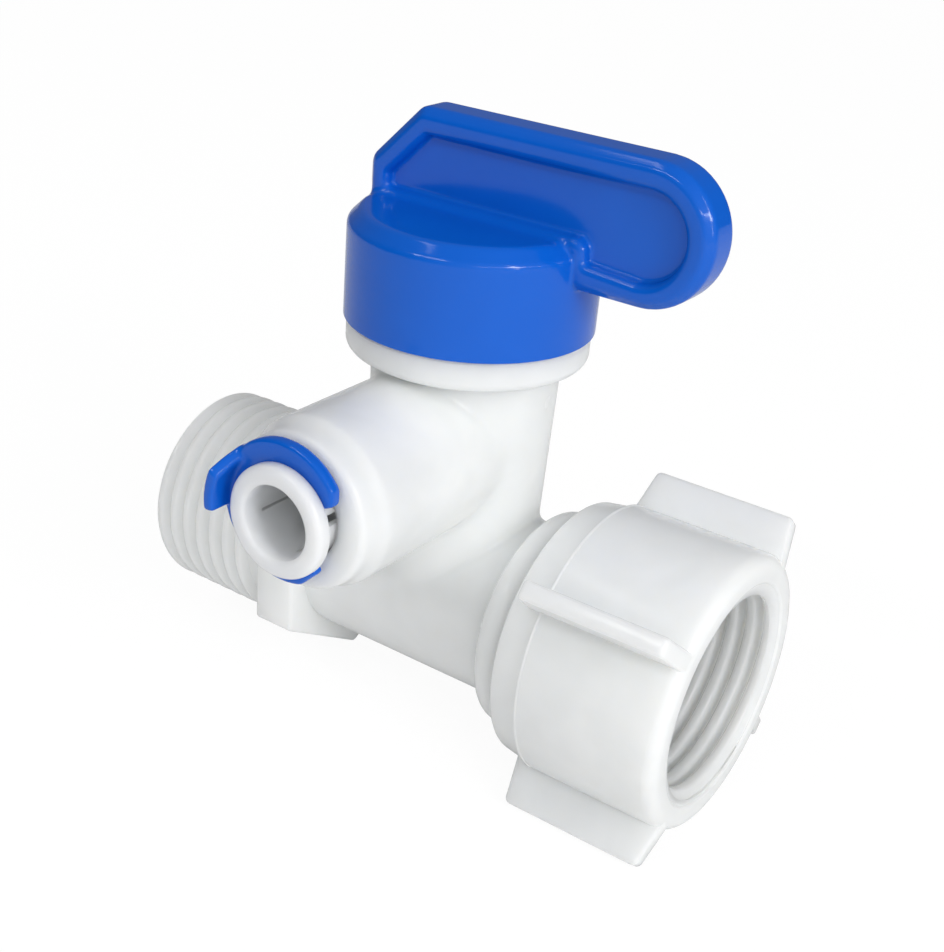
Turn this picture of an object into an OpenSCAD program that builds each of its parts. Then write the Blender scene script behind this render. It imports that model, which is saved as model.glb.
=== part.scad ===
// Feed-water tee with a quarter-turn ball valve, a swivel nut and a push-fit tube outlet.
// The origin is where the run axis (X) crosses the stem axis (Z). The outlet points along -Y.

/* [Run] */
// Outside radius of the run tube
run_r = 8.8; // [8.4:0.1:9.2]
// Radius of the water way along the run
bore_r = 6.4; // [5.6:0.1:6.7]
// Stem axis to the end of the male thread
male_reach = 31; // [28:0.1:36]
// Stem axis to the open face of the nut
nut_reach = 30.9; // [30:0.1:36]

/* [Male end] */
// Crest radius of the pipe thread
thread_r = 10.4; // [10:0.05:10.8]
// Depth of the pipe thread
thread_depth = 1.16; // [0.9:0.02:1.3]
// Plain neck between the thread and the hexagon
neck_w = 1.5; // [0.8:0.1:3]
// Hexagon, across flats
hex_flats = 21.5; // [20.8:0.1:24]
// Width of the hexagon along the run
hex_w = 4.7; // [3:0.1:6]
// Stem axis to the inner face of the hexagon
hex_reach = 11.2; // [10:0.1:12]

/* [Swivel nut] */
// Outside radius of the nut
nut_r = 13.35; // [13.2:0.05:14.5]
// Back edge radius of the nut
nut_back_r = 12.6; // [11.6:0.1:12.8]
// Length of the sloping shoulder at the nut's back
shoulder_w = 3.2; // [2.4:0.1:4]
// Radius to the tips of the wings
wing_tip_r = 17.2; // [15.5:0.1:19]
// Thickness of a wing
wing_t = 1.8; // [1.6:0.1:3.2]
// Number of wings
wing_count = 4; // [3:1:6]
// Angle of the first wing from upright
wing_turn = 40; // [0:1:89]
// Radius of the spigot that the nut spins on
spigot_r = 8.3; // [8:0.05:8.6]
// Length of spigot past its split ring
spigot_land = 1.05; // [0.8:0.05:1.6]
// Outside radius of the bead behind the nut
bead_r = 10.8; // [10.2:0.05:11]
// Stem axis to the middle of the bead
bead_reach = 11.5; // [11:0.1:12.4]
// Half width of the bead
bead_half = 1.25; // [0.9:0.05:1.5]
// End gap between the bead and the nut
nut_gap = 0.9; // [0.5:0.05:1.4]
// Thickness of the flat pipe washer
washer_t = 2.4; // [1.6:0.1:3]

/* [Tower] */
// Outside radius at the top of the tower
tower_r = 8.8; // [8.4:0.1:9.2]
// Height of the tower's top above the run axis
tower_top = 24.5; // [24.4:0.1:27]
// Draft of the tower, narrowing in each millimetre of height
tower_draft = 0.027; // [0.01:0.001:0.04]
// Outside radius of the bonnet flange
flange_r = 11.15; // [10.4:0.05:12]
// Thickness of the bonnet flange
flange_t = 2.8; // [2:0.1:3.6]

/* [Valve] */
// Height of the outlet axis above the run axis
outlet_z = 16.3; // [15.9:0.1:16.4]
// Radius of the ball
ball_r = 4.8; // [4.7:0.05:4.9]
// Radius of the water way in the ball
ball_way_r = 2.2; // [1.6:0.05:2.3]
// Gap between the ball and its chamber
chamber_gap = 0.2; // [0.15:0.01:0.3]
// Running gap between the ball and its seats
seat_gap = 0.05; // [0.03:0.01:0.08]
// Outside radius of a seat ring
seat_r = 3.3; // [3:0.05:3.35]
// Radius of the stem
stem_r = 2.95; // [2.6:0.05:3]
// Side of the square head on the stem
head_side = 4.3; // [3.6:0.05:4.5]
// Thickness of the tongue that turns the ball
tongue_t = 1.9; // [1.4:0.05:2.4]

/* [Handle] */
// Outside radius of the cap
cap_r = 11.45; // [10.6:0.05:12]
// Height of the cap's flat top above the run axis
cap_top = 37.1; // [36.8:0.1:39]
// Wall of the cap
cap_wall = 2; // [1.5:0.1:2.2]
// Rounding of the cap's top edge
cap_round = 1.6; // [0.8:0.1:2]
// Thickness of the blade
blade_t = 4.4; // [3.6:0.1:5.4]
// Rounding along the blade's edges
blade_round = 1.3; // [0.8:0.05:1.6]
// Height of the blade's top above the run axis
blade_top = 45.4; // [43.5:0.1:48]
// Blade end beyond the stem axis
blade_reach = 23.4; // [20:0.1:28]
// Blade's short end behind the stem axis
blade_back = 10.8; // [9:0.1:11]
// Size of the slanted corner
blade_corner = 4.5; // [3:0.1:6]
// Depth of the blade's round end
blade_end_h = 12.2; // [10.5:0.1:13]
// Width of the raised rim round the recess
rim_w = 2.1; // [1.5:0.1:2.6]
// Depth of the recess in each face of the blade
recess_depth = 1.2; // [0.4:0.1:1.5]

/* [Outlet] */
// Outside radius of the branch
branch_r = 7.68; // [7.3:0.01:8]
// Stem axis to the face of the branch
branch_reach = 23.4; // [23:0.1:26]
// Length of the tapered nose of the branch
nose_w = 2.6; // [1.5:0.1:3.5]
// Face radius of the branch
face_r = 6.9; // [6.7:0.05:7.2]
// Radius of the tube that is pushed in
tube_r = 3.175; // [3:0.005:3.2]
// Clearance round the tube
tube_gap = 0.045; // [0.03:0.005:0.08]
// Stem axis to the stop that the tube meets
tube_stop = 9.6; // [9:0.1:10]
// Length of the socket that guides the tube
socket_w = 4; // [3:0.1:4.4]
// Radial room for the tube seal
gland_depth = 1.78; // [1.5:0.02:1.9]

/* [Collet] */
// Wall of the collet's neck
neck_wall = 0.7; // [0.55:0.05:0.8]
// Outside radius of the collet flange
collet_flange_r = 5; // [4.8:0.05:5.8]
// Thickness of the collet flange
collet_flange_t = 1.4; // [0.8:0.1:1.6]
// Number of slots between the fingers
slot_count = 4; // [3:1:6]
// Width of a slot
slot_w = 1; // [0.5:0.05:1.2]

/* [Locking clip] */
// Thickness of the clip
clip_t = 1.25; // [1:0.05:1.6]
// Outside radius of the clip
clip_r = 6.45; // [6.2:0.05:6.8]
// Radial width of the finger lip
lip_w = 1.1; // [0.8:0.1:1.4]
// How far the lip stands out from the branch face
lip_h = 3.6; // [2.4:0.1:5]
// Angle of the clip's opening
clip_open = 80; // [70:1:90]

/* [Hidden] */
$fn = 64;

white = [0.93, 0.93, 0.91];
blue = [0.07, 0.30, 0.72];
rubber = [0.08, 0.08, 0.09];
seat_white = [0.86, 0.86, 0.84];
steel = [0.72, 0.73, 0.75];

// A little past a face, so that a cut goes right through it
past = 1;
// Hair's breadth that keeps two touching faces apart
clear = 0.02;
// Small clearance between pieces that stay still against each other
fit_gap = 0.05;
// Clearance between pieces that turn against each other
turn_gap = 0.2;

// Run and male end
core_r = thread_r - thread_depth;
thread_pitch = 1.814;
thread_lead = 0.25;
ridge_crest = 0.2;
ridge_foot = 0.75;
ridge_first = thread_lead + ridge_foot - male_reach;
hex_outer = hex_reach + hex_w;
ridge_count = 1 + floor((-hex_outer - neck_w - ridge_foot - ridge_first) / thread_pitch);
hex_corner_r = hex_flats / 2 / cos(30);
bead_section_r = 1.3;
bead_start = bead_reach - bead_half;
bead_end = bead_reach + bead_half;
spigot_chamfer = 0.5;

// Swivel nut
nut_back = bead_end + nut_gap;
nut_wall = 2.85;
nut_cavity = nut_back + nut_wall;
nut_hole_r = spigot_r + turn_gap;
nut_bore_r = thread_r + 0.1;
relief_r = nut_bore_r + 0.3;
nut_round = 1.2;
nut_step = 0.25;
nut_edge = 0.4;
wing_front = nut_reach - 0.15;
wing_root_r = nut_r - 1;
wing_slope = 1;
wing_corner = 0.6;
wing_back = nut_back + shoulder_w / 2;
wing_lean = 0.9;
ring_t = 1.1;
ring_start = nut_cavity + turn_gap;
ring_depth = 1;
ring_gap = 24;
ring_wall = 1.3;
ring_r = spigot_r + ring_wall;
groove_end = ring_start + ring_t + 0.1;
spigot_end = groove_end + spigot_land;
thread_start = spigot_end + washer_t + 0.4;

// Tower, chamber and bonnet
tower_base_r = tower_r - tower_draft * tower_top;
chamber_r = ball_r + chamber_gap;
chamber_floor = outlet_z - chamber_r;
seat_back = 6;
seat_seal_t = 0.9;
seat_seal_r = 0.43;
seat_pocket = seat_back + seat_seal_t;
seat_pocket_r = seat_r + fit_gap;
tower_wall = 2.4;
counterbore_r = tower_r - tower_wall;
plug_r = counterbore_r - fit_gap;
bonnet_seal_r = 0.48;
bonnet_groove_r = plug_r - 2 * bonnet_seal_r;
groove_half = 0.52;
flange_top = tower_top + flange_t;
flange_round = 0.8;
hub_r = 8.4;
hub_h = 5.3;
hub_top = flange_top + hub_h;
hub_bead = 0.45;
hub_bead_h = 2.1;
hub_bead_slope = 1.4;
hub_bead_z = hub_top - hub_bead_h;
well_r = 5.2;
well_floor = 2.3;
well_z = flange_top + well_floor;
stop_h = 1.5;
stop_top = hub_top + stop_h;
stop_r = hub_r - 0.4;

// Stem and ball
stem_hole_r = stem_r + fit_gap;
slot_z = outlet_z + ball_way_r + 0.9;
collar_z = outlet_z + ball_r + 0.3;
collar_t = 1;
collar_gap = 0.6;
collar_r = chamber_r - collar_gap;
thrust_t = 0.5;
thrust_z = collar_z + collar_t + clear;
bonnet_bottom = thrust_z + thrust_t + clear;
counterbore_z = bonnet_bottom - fit_gap;
bonnet_seal_z = (bonnet_bottom + tower_top) / 2;
tongue_l = 6.2;
round_top = well_z - 0.1;
stem_seal_r = 0.43;
stem_groove_r = stem_r - 0.86;
seal_inset = 1.6;
seal_low_z = bonnet_bottom + seal_inset;
seal_high_z = round_top - seal_inset;

// Handle
cap_bottom = flange_top + 0.15;
cap_in_r = cap_r - cap_wall;
cap_in_top = stop_top + 0.4;
snap_z = hub_bead_z - 1.2;
snap_t = 1;
snap_r = hub_r + turn_gap;
boss_r = well_r - 0.4;
boss_z = well_z + 0.4;
head_cover = 1.3;
head_top = cap_top - head_cover;
stop_half = 6;
stop_swing = 90;
blade_end_r = blade_end_h / 2;
blade_end_x = blade_reach - blade_end_r;
blade_end_z = blade_top - blade_end_r;
blade_sink = 2;
blade_foot = cap_top - blade_sink;
recess_foot = cap_top + 0.8;
web_t = 0.9;

// Outlet
socket_r = tube_r + tube_gap;
gland_r = socket_r + gland_depth;
gland_start = tube_stop + socket_w;
tube_seal_r = gland_depth / 2 - clear;
seal_room = 2.3;
spacer_start = gland_start + seal_room;
spacer_t = 1.25;
cartridge_start = spacer_start + spacer_t + fit_gap;
cartridge_wall = 0.9;
cartridge_r = gland_r + cartridge_wall;
cone_big_r = gland_r;
neck_r = socket_r + 0.08 + neck_wall;
mouth_r = neck_r + 0.27;
mouth_w = 1.8;
cone_end = branch_reach - mouth_w;
collet_in_r = socket_r + 0.08;
collet_room = 1.1;
collet_tail = cartridge_start + collet_room;
finger_w = 1.7;
finger_r = neck_r + 0.38;
clip_start = branch_reach + turn_gap;
clip_end = clip_start + clip_t;
collet_flange_start = clip_end + 0.2;
collet_face = collet_flange_start + collet_flange_t;
collet_slot_end = clip_end - 0.75;
slot_turn = 12;
tooth_in_r = socket_r + clear;
tooth_out_r = neck_r + 0.1;
tooth_start = collet_tail + 0.6;
tooth_t = 0.35;

// Clip
clip_in_r = neck_r + 0.15;
clip_turn = -12;
clip_shift = [-0.55, 0.2];
clip_flats = [[0, 4.75], [-45, 5.3]];
lip_r = 7.2;
lip_half = 25;
lip_turn = 163;

// Points along a round stretch of an outline
function arc(cx, cy, r, from, to, steps = 5) =
    [for (i = [0:steps]) let (a = from + (to - from) * i / steps) [cx + r * cos(a), cy + r * sin(a)]];

// A solid turned about the run axis, from points [radius, distance along X]
module about_run(points) rotate([0, 90, 0]) rotate_extrude() polygon(points);

// A solid turned about the outlet axis, from points [radius, distance out]
module about_outlet(points) on_outlet() rotate_extrude() polygon(points);

// Stands a shape that was made upright on the outlet axis, pointing out
module on_outlet() translate([0, 0, outlet_z]) rotate([90, 0, 0]) children();

// A flat ring, upright
module ring(outer_r, inner_r, low, high)
    translate([0, 0, low]) difference() {
        cylinder(r = outer_r, h = high - low);
        translate([0, 0, -past]) cylinder(r = inner_r, h = high - low + 2 * past);
    }

// A rubber ring, upright
module seal(mid_r, section_r, height)
    translate([0, 0, height]) rotate_extrude() translate([mid_r, 0]) circle(r = section_r, $fn = 24);

// A wedge of a turn, upright, between two angles less than 180 apart
module wedge(from, to, far, low, high)
    translate([0, 0, low]) linear_extrude(high - low)
        polygon(concat([[0, 0]], arc(0, 0, far, from, to, 4)));

// One ridge of the pipe thread, which is drawn as level rings
function ridge(x) = [[core_r, x - ridge_foot], [thread_r, x - ridge_crest],
                     [thread_r, x + ridge_crest], [core_r, x + ridge_foot]];

// Outside of the run, from the male end to the end of the spigot
module run_outside()
    about_run(concat(
        [[0, -male_reach], [core_r, -male_reach]],
        [for (i = [0:ridge_count - 1]) each ridge(ridge_first + i * thread_pitch)],
        [[core_r, -hex_reach - hex_w / 2], [run_r, -hex_reach - hex_w / 2], [run_r, bead_start]],
        arc(bead_r - bead_section_r, bead_reach, bead_section_r, -68, 68),
        [[spigot_r, bead_end], [spigot_r, ring_start], [spigot_r - ring_depth, ring_start]],
        [[spigot_r - ring_depth, groove_end], [spigot_r, groove_end]],
        [[spigot_r, spigot_end - spigot_chamfer], [spigot_r - spigot_chamfer, spigot_end]],
        [[0, spigot_end]]));

// Body, moulded in one piece
module tee_body()
    color(white) difference() {
        union() {
            run_outside();
            translate([-hex_outer, 0, 0]) rotate([0, 90, 0]) cylinder(r = hex_corner_r, h = hex_w, $fn = 6);
            cylinder(r1 = tower_base_r, r2 = tower_r, h = tower_top);
            about_outlet([[0, 0], [branch_r, 0], [branch_r, branch_reach - nose_w],
                          [face_r, branch_reach], [0, branch_reach]]);
        }
        run_way();
        chamber();
        outlet_way();
    }

module run_way()
    translate([-male_reach - past, 0, 0]) rotate([0, 90, 0])
        cylinder(r = bore_r, h = male_reach + spigot_end + 2 * past);

// Room for the ball, the seat below it and the bonnet's plug
module chamber() {
    cylinder(r = ball_way_r, h = outlet_z);
    translate([0, 0, outlet_z - seat_pocket]) cylinder(r = seat_pocket_r, h = seat_pocket);
    translate([0, 0, chamber_floor]) cylinder(r = chamber_r, h = tower_top);
    translate([0, 0, counterbore_z]) cylinder(r = counterbore_r, h = tower_top);
}

// Stepped way out through the branch
module outlet_way()
    about_outlet([[0, 0], [seat_pocket_r, 0], [seat_pocket_r, seat_pocket], [ball_way_r, seat_pocket],
                  [ball_way_r, tube_stop], [socket_r, tube_stop], [socket_r, gland_start],
                  [gland_r, gland_start], [gland_r, cartridge_start], [cartridge_r, cartridge_start],
                  [cartridge_r, branch_reach + past], [0, branch_reach + past]]);

// Nut with wings, which spins on the spigot
module swivel_nut()
    color(white) difference() {
        union() {
            about_run(concat(
                [[nut_hole_r, nut_back], [nut_back_r - nut_edge, nut_back]],
                [[nut_back_r, nut_back + nut_edge]],
                [[nut_r - nut_step, nut_back + shoulder_w], [nut_r, nut_back + shoulder_w + nut_step]],
                arc(nut_r - nut_round, nut_reach - nut_round, nut_round, 0, 90),
                [[nut_hole_r, nut_reach]]));
            for (i = [0:wing_count - 1]) rotate([-wing_turn - i * 360 / wing_count, 0, 0]) wing();
        }
        about_run([[0, nut_back - past], [nut_hole_r, nut_back - past], [nut_hole_r, nut_cavity],
                   [relief_r, nut_cavity], [relief_r, thread_start], [nut_bore_r, thread_start],
                   [nut_bore_r, nut_reach - 0.5], [nut_bore_r + 0.5 + past, nut_reach + past],
                   [0, nut_reach + past]]);
    }

// One wing, standing up from the nut
module wing()
    translate([0, wing_t / 2, 0]) rotate([90, 0, 0]) linear_extrude(wing_t) polygon(concat(
        [[wing_back, wing_root_r], [wing_front, wing_root_r], [wing_front, nut_r - nut_round / 2]],
        arc(wing_front - wing_lean - wing_corner, wing_tip_r - wing_corner, wing_corner, 5, 90, 3),
        arc(wing_back + wing_slope + wing_corner, wing_tip_r - wing_corner, wing_corner, 90, 160, 3)));

// Split ring in the spigot's groove
module nut_ring()
    color(white) rotate([0, 90, 0]) difference() {
        ring(ring_r, spigot_r - ring_depth + fit_gap, ring_start + fit_gap, ring_start + fit_gap + ring_t);
        wedge(-ring_gap / 2, ring_gap / 2, ring_r * 1.2, ring_start - past, ring_start + ring_t + past);
    }

// Flat washer that a pipe is tightened against
module pipe_washer()
    color(rubber) rotate([0, 90, 0])
        ring(nut_bore_r - 0.3, bore_r + 0.3, spigot_end + fit_gap, spigot_end + fit_gap + washer_t);

// Bonnet, with its plug, flange and hub
module bonnet()
    color(white) {
        rotate_extrude() polygon(concat(
            [[stem_hole_r, bonnet_bottom], [plug_r, bonnet_bottom], [plug_r, bonnet_seal_z - groove_half],
             [bonnet_groove_r, bonnet_seal_z - groove_half],
             [bonnet_groove_r, bonnet_seal_z + groove_half]],
            [[plug_r, bonnet_seal_z + groove_half], [plug_r, tower_top]],
            arc(flange_r - flange_round, tower_top + flange_round, flange_round, -90, 0),
            [[flange_r, flange_top], [hub_r, flange_top], [hub_r, hub_bead_z],
             [hub_r + hub_bead, hub_bead_z], [hub_r + hub_bead, hub_bead_z + hub_bead],
             [hub_r, hub_bead_z + hub_bead_slope], [hub_r, hub_top]],
            [[well_r, hub_top], [well_r, well_z], [stem_hole_r, well_z]]));
        difference() {
            ring(stop_r, well_r, hub_top - 0.1, stop_top);
            wedge(-stop_swing - stop_half - 1, stop_half + 1, stop_r * 1.3, hub_top, stop_top + past);
        }
    }

module bonnet_seal()
    color(rubber) seal(bonnet_groove_r + bonnet_seal_r + clear, bonnet_seal_r, bonnet_seal_z);

// Handle, moulded in one piece
module handle()
    color(blue) difference() {
        union() {
            difference() {
                union() {
                    cap_outside();
                    blade();
                }
                translate([0, 0, cap_bottom - past])
                    cylinder(r = cap_in_r, h = cap_in_top - cap_bottom + past);
                recess(1);
                recess(-1);
            }
            ring(cap_in_r + 0.1, snap_r, snap_z, snap_z + snap_t);
            translate([0, 0, boss_z]) cylinder(r = boss_r, h = cap_in_top - boss_z + 0.1);
            intersection() {
                ring(stop_r - 0.15, boss_r - 0.1, hub_top + turn_gap, cap_in_top + 0.1);
                wedge(-stop_half, stop_half, stop_r, hub_top, cap_top);
            }
        }
        square_head(head_side + 2 * fit_gap, boss_z - past, head_top + 0.1);
    }

module cap_outside()
    rotate_extrude() polygon(concat([[0, cap_bottom], [cap_r, cap_bottom]],
        arc(cap_r - cap_round, cap_top - cap_round, cap_round, 0, 90, 6), [[0, cap_top]]));

// Upright blade across the cap, rounded along all its edges
module blade() {
    side = blade_t / 2 - blade_round;
    back = blade_back - blade_round;
    top = blade_top - blade_round;
    low = blade_top - blade_end_h + blade_round;
    hull() {
        translate([blade_end_x, 0, blade_end_z]) rotate([90, 0, 0]) for (s = [-1, 1])
            translate([0, 0, s * side]) rotate_extrude($fn = 48)
                translate([blade_end_r - blade_round, 0]) circle(r = blade_round, $fn = 20);
        for (s = [-1, 1], p = [[-back, blade_foot], [-back, top - blade_corner],
                               [blade_corner - back, top], [cap_in_r - 1, low]])
            translate([p[0], s * side, p[1]]) sphere(r = blade_round, $fn = 20);
    }
}

// Recess in one face of the blade, inside its rim and clear of the cap
module recess(side) {
    low_x = rim_w - blade_back;
    high_z = blade_top - rim_w;
    slant = blade_corner + (blade_round - rim_w) * (2 - sqrt(2));
    floor_y = blade_t / 2 - recess_depth;
    translate([0, side > 0 ? floor_y + recess_depth + past : -floor_y, 0]) rotate([90, 0, 0])
        linear_extrude(recess_depth + past) difference() {
            polygon(concat(
                arc(blade_end_x, blade_end_z, blade_end_r - rim_w, -90, 90, 16),
                [[low_x + slant, high_z], [low_x, high_z - slant]],
                [[low_x, blade_end_z - blade_end_r + rim_w]]));
            translate([-blade_back, 0]) square([blade_back + cap_r + web_t, recess_foot]);
        }
}

module square_head(side, low, high)
    intersection() {
        translate([-side / 2, -side / 2, low]) cube([side, side, high - low]);
        translate([0, 0, low]) cylinder(r = stem_r + (side - head_side) / 2, h = high - low);
    }

// Stem, with its tongue, collar, seal grooves and square head
module stem()
    color(white) {
        rotate_extrude() polygon([
            [0, collar_z], [collar_r, collar_z],
            [collar_r, collar_z + collar_t], [stem_r, collar_z + collar_t],
            [stem_r, seal_low_z - groove_half], [stem_groove_r, seal_low_z - groove_half],
            [stem_groove_r, seal_low_z + groove_half], [stem_r, seal_low_z + groove_half],
            [stem_r, seal_high_z - groove_half], [stem_groove_r, seal_high_z - groove_half],
            [stem_groove_r, seal_high_z + groove_half], [stem_r, seal_high_z + groove_half],
            [stem_r, round_top], [0, round_top]]);
        square_head(head_side, round_top - 0.1, head_top);
        translate([-tongue_t / 2, -tongue_l / 2, slot_z + fit_gap])
            cube([tongue_t, tongue_l, collar_z - slot_z]);
    }

module stem_seal_lower() color(rubber) seal(stem_groove_r + stem_seal_r + clear, stem_seal_r, seal_low_z);

module stem_seal_upper() color(rubber) seal(stem_groove_r + stem_seal_r + clear, stem_seal_r, seal_high_z);

module thrust_washer()
    color(seat_white) ring(collar_r, stem_r + fit_gap, thrust_z, thrust_z + thrust_t);

// Ball with an L-shaped way: up from below, then out towards the blade's long end
module ball()
    color(seat_white) translate([0, 0, outlet_z]) difference() {
        sphere(r = ball_r);
        translate([0, 0, -ball_r - past]) cylinder(r = ball_way_r, h = ball_r + past);
        rotate([0, 90, 0]) cylinder(r = ball_way_r, h = ball_r + past);
        sphere(r = ball_way_r);
        translate([-tongue_t / 2 - fit_gap, -ball_r, slot_z - outlet_z])
            cube([tongue_t + 2 * fit_gap, 2 * ball_r, ball_r]);
    }

// Seat ring with a face that follows the ball, made on the ball's centre
module seat()
    difference() {
        ring(seat_r, ball_way_r, ball_r / 2, seat_back);
        sphere(r = ball_r + seat_gap);
    }

module inlet_seat() color(seat_white) translate([0, 0, outlet_z]) mirror([0, 0, 1]) seat();

module inlet_seat_seal()
    color(rubber) translate([0, 0, outlet_z]) mirror([0, 0, 1])
        seal((seat_r + ball_way_r) / 2, seat_seal_r, seat_back + seat_seal_t / 2);

module outlet_seat() color(seat_white) on_outlet() seat();

module outlet_seat_seal()
    color(rubber) on_outlet() seal((seat_r + ball_way_r) / 2, seat_seal_r, seat_back + seat_seal_t / 2);

// Ring in the branch whose cone closes the collet's fingers
module port_cartridge()
    color(white) about_outlet([
        [cone_big_r, cartridge_start + fit_gap], [cartridge_r - fit_gap, cartridge_start + fit_gap],
        [cartridge_r - fit_gap, branch_reach], [mouth_r, branch_reach], [mouth_r, cone_end]]);

module tube_seal()
    color(rubber) on_outlet() seal(socket_r + gland_depth / 2, tube_seal_r, gland_start + seal_room / 2);

module seal_spacer()
    color(white) on_outlet() ring(gland_r - fit_gap, collet_in_r, spacer_start, spacer_start + spacer_t);

// Collet with slotted fingers, neck and flange
module collet()
    color(white) difference() {
        about_outlet(concat(
            [[collet_in_r, collet_tail], [finger_r - 0.3, collet_tail], [finger_r, collet_tail + 0.3]],
            [[finger_r, collet_tail + finger_w], [neck_r, collet_tail + finger_w + 0.5]],
            [[neck_r, collet_flange_start], [collet_flange_r, collet_flange_start]],
            arc(collet_flange_r - 0.5, collet_face - 0.5, 0.5, 0, 90, 4),
            [[collet_in_r + 0.3, collet_face], [collet_in_r, collet_face - 0.3]]));
        on_outlet() ring(tooth_out_r + clear, past, tooth_start - clear, tooth_start + tooth_t + clear);
        on_outlet() for (i = [0:slot_count - 1]) rotate(slot_turn + i * 360 / slot_count)
            translate([past, -slot_w / 2, collet_tail - past])
                cube([finger_r + past, slot_w, collet_slot_end - collet_tail + past]);
    }

// Steel teeth, one arc in each finger
module collet_teeth()
    color(steel) on_outlet() difference() {
        ring(tooth_out_r, tooth_in_r, tooth_start, tooth_start + tooth_t);
        for (i = [0:slot_count - 1]) rotate(slot_turn + i * 360 / slot_count)
            translate([past, -slot_w, tooth_start - past])
                cube([finger_r + past, 2 * slot_w, 2 * past + tooth_t]);
    }

// Open ring on the collet's neck, wider on the side of its lip
module locking_clip()
    color(blue) on_outlet() {
        difference() {
            translate([clip_shift.x, clip_shift.y, clip_start]) cylinder(r = clip_r, h = clip_t);
            translate([0, 0, clip_start - past]) cylinder(r = clip_in_r, h = clip_t + 2 * past);
            wedge(clip_turn - clip_open / 2, clip_turn + clip_open / 2, clip_r * 1.6,
                  clip_start - past, clip_end + past);
            for (flat = clip_flats) rotate(flat[0]) translate([flat[1], -clip_r, clip_start - past])
                cube([clip_r, 2 * clip_r, clip_t + 2 * past]);
        }
        intersection() {
            ring(lip_r, lip_r - lip_w, clip_start, clip_start + lip_h);
            wedge(lip_turn - lip_half, lip_turn + lip_half, clip_r * 1.3, clip_start, clip_start + lip_h);
        }
    }

tee_body();
swivel_nut();
nut_ring();
pipe_washer();
bonnet();
bonnet_seal();
handle();
stem();
stem_seal_lower();
stem_seal_upper();
thrust_washer();
ball();
inlet_seat();
inlet_seat_seal();
outlet_seat();
outlet_seat_seal();
port_cartridge();
tube_seal();
seal_spacer();
collet();
collet_teeth();
locking_clip();
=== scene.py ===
import math
import bpy
from mathutils import Matrix, Vector


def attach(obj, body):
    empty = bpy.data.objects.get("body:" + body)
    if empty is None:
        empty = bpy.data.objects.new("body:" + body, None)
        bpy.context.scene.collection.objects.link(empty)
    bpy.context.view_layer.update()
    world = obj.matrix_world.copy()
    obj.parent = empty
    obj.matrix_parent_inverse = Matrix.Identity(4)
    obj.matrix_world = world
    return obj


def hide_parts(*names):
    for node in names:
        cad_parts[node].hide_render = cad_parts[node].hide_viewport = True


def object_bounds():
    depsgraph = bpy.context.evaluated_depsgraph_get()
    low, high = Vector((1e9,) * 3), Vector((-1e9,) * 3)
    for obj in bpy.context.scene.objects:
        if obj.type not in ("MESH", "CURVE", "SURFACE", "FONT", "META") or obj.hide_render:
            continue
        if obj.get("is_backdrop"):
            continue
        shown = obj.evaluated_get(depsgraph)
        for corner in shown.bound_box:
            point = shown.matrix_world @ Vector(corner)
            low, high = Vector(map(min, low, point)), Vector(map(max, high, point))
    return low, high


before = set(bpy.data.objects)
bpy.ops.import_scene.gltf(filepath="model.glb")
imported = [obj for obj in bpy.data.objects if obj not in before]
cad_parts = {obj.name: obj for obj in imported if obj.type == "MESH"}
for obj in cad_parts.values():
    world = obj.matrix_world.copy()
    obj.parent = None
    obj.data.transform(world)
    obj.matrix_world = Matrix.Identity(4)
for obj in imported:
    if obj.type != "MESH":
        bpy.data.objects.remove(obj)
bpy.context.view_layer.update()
print("frame loaded")

mm = 0.001  # the lengths below are in mm
outletZ = 16.3  # height of the outlet's axis
joined = 0.0005  # points closer than this are one


# Where a point of a turned part goes: its radius, its place along the axis, and the angle round it
def onRun(radius, along, angle=0):
    turn = math.radians(angle)
    return Vector((along, radius * math.sin(turn), radius * math.cos(turn)))


def onStem(radius, along, angle=0):
    turn = math.radians(angle)
    return Vector((radius * math.cos(turn), radius * math.sin(turn), along))


def onOutlet(radius, along, angle=0):
    turn = math.radians(angle)
    return Vector((radius * math.sin(turn), -along, outletZ + radius * math.cos(turn)))


ways = {
    "run": {"put": onRun, "axis": (1, 0, 0), "centre": (0, 0, 0), "letter": "X", "sense": 1},
    "stem": {"put": onStem, "axis": (0, 0, -1), "centre": (0, 0, 0), "letter": "Z", "sense": -1},
    "outlet": {"put": onOutlet, "axis": (0, -1, 0), "centre": (0, 0, outletZ), "letter": "Y", "sense": -1},
}


# An outline whose corners are (x, y) or (x, y, rounding)
def softened(corners, closed=True, cuts=4):
    points = []
    for i, corner in enumerate(corners):
        here = Vector(corner[:2])
        if len(corner) < 3 or (not closed and i in (0, len(corners) - 1)):
            points.append(here)
            continue
        back = (Vector(corners[i - 1][:2]) - here).normalized()
        ahead = (Vector(corners[(i + 1) % len(corners)][:2]) - here).normalized()
        half = back.angle(ahead) / 2
        centre = here + (back + ahead).normalized() * corner[2] / math.sin(half)
        first = here + back * corner[2] / math.tan(half) - centre
        last = here + ahead * corner[2] / math.tan(half) - centre
        sweep = first.angle(last)
        for k in range(cuts + 1):
            share = k / cuts
            points.append(centre + (first * math.sin((1 - share) * sweep)
                                    + last * math.sin(share * sweep)) / math.sin(sweep))
    return points


def bow(x, y, radius, start, end, cuts=8):
    return [(x + radius * math.cos(math.radians(start + (end - start) * k / cuts)),
             y + radius * math.sin(math.radians(start + (end - start) * k / cuts))) for k in range(cuts + 1)]


def only(*pieces):
    bpy.ops.object.select_all(action="DESELECT")
    for piece in pieces:
        piece.select_set(True)
    bpy.context.view_layer.objects.active = pieces[0]


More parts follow.
